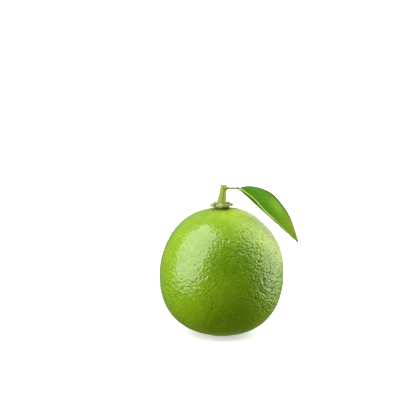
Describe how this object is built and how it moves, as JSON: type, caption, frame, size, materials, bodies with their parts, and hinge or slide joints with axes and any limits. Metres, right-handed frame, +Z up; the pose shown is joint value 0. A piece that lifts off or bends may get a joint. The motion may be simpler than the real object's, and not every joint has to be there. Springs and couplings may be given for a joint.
{
  "type": "lime",
  "caption": "Whole green lime standing on its flat spot, with its calyx, a short length of stalk and a leaf folded along its midrib.",
  "frame": {"origin": "centre of the flat spot the fruit stands on", "axes": "+Z up along the fruit's axis to the stalk, +X towards the leaf"},
  "size_m": [0.067, 0.06, 0.0723],
  "materials": {
    "rind": "satin",
    "calyx": "matte",
    "stalk": "satin",
    "petiole": "satin",
    "leaf": "satin"
  },
  "bodies": {
    "root": {"fruit": "rind", "calyx": "calyx", "stalk": "stalk", "petiole": "petiole", "leaf_blade": "leaf"}
  },
  "joints": []
}
